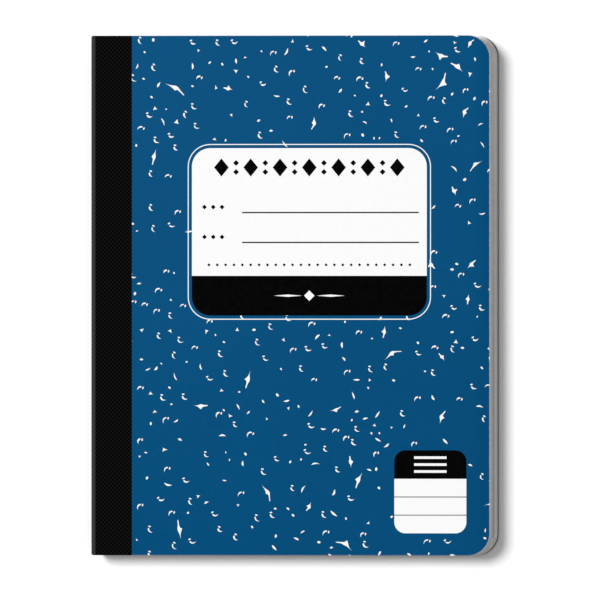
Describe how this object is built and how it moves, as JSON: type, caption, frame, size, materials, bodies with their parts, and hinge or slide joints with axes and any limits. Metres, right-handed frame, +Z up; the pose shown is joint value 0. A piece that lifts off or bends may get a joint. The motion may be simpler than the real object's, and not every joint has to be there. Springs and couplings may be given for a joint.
{
  "type": "composition notebook",
  "caption": "Sewn composition notebook with marbled board covers, a cloth spine tape and rounded fore-edge corners; both covers open on the tape.",
  "frame": {"origin": "middle of the footprint, on the surface that the closed notebook lies on", "axes": "+X from the spine to the fore edge, +Y from the tail to the head, +Z up through the front cover"},
  "size_m": [0.194, 0.2476, 0.0103],
  "materials": {
    "cover_board": "printed board with a satin coat, deep blue",
    "leaves": "uncoated white writing paper",
    "tape_cloth": "black woven book cloth",
    "thread": "white cotton sewing thread",
    "white_ink": "white print, satin",
    "black_ink": "black print, satin",
    "grey_ink": "dark grey print, satin",
    "pale_grey_ink": "mid grey print, satin"
  },
  "bodies": {
    "block": {"page_block": "leaves", "outer_thread": "thread", "inner_thread": "thread", "spine_tape": "tape_cloth"},
    "front": {"front_cover": "cover_board", "marbling_flecks": "white_ink", "label_keyline": "white_ink", "label_panel": "white_ink", "label_band": "black_ink", "writing_lines": "grey_ink", "label_ornaments": "black_ink", "band_ornament": "white_ink", "badge_header": "black_ink", "badge_panel": "white_ink", "badge_lines": "pale_grey_ink", "badge_bars": "white_ink"},
    "back": {"back_cover": "cover_board"}
  },
  "joints": [
    {"name": "front_cover_hinge", "type": "hinge", "parent": "block", "child": "front", "pos_m": [-0.0946, 0, 0.0098], "axis": [0, -1, 0], "range_deg": [0, 180], "deforming": ["spine_tape"]},
    {"name": "back_cover_hinge", "type": "hinge", "parent": "block", "child": "back", "pos_m": [-0.0911, 0, 0.0004], "axis": [0, 1, 0], "range_deg": [0, 180], "deforming": ["spine_tape"]}
  ]
}
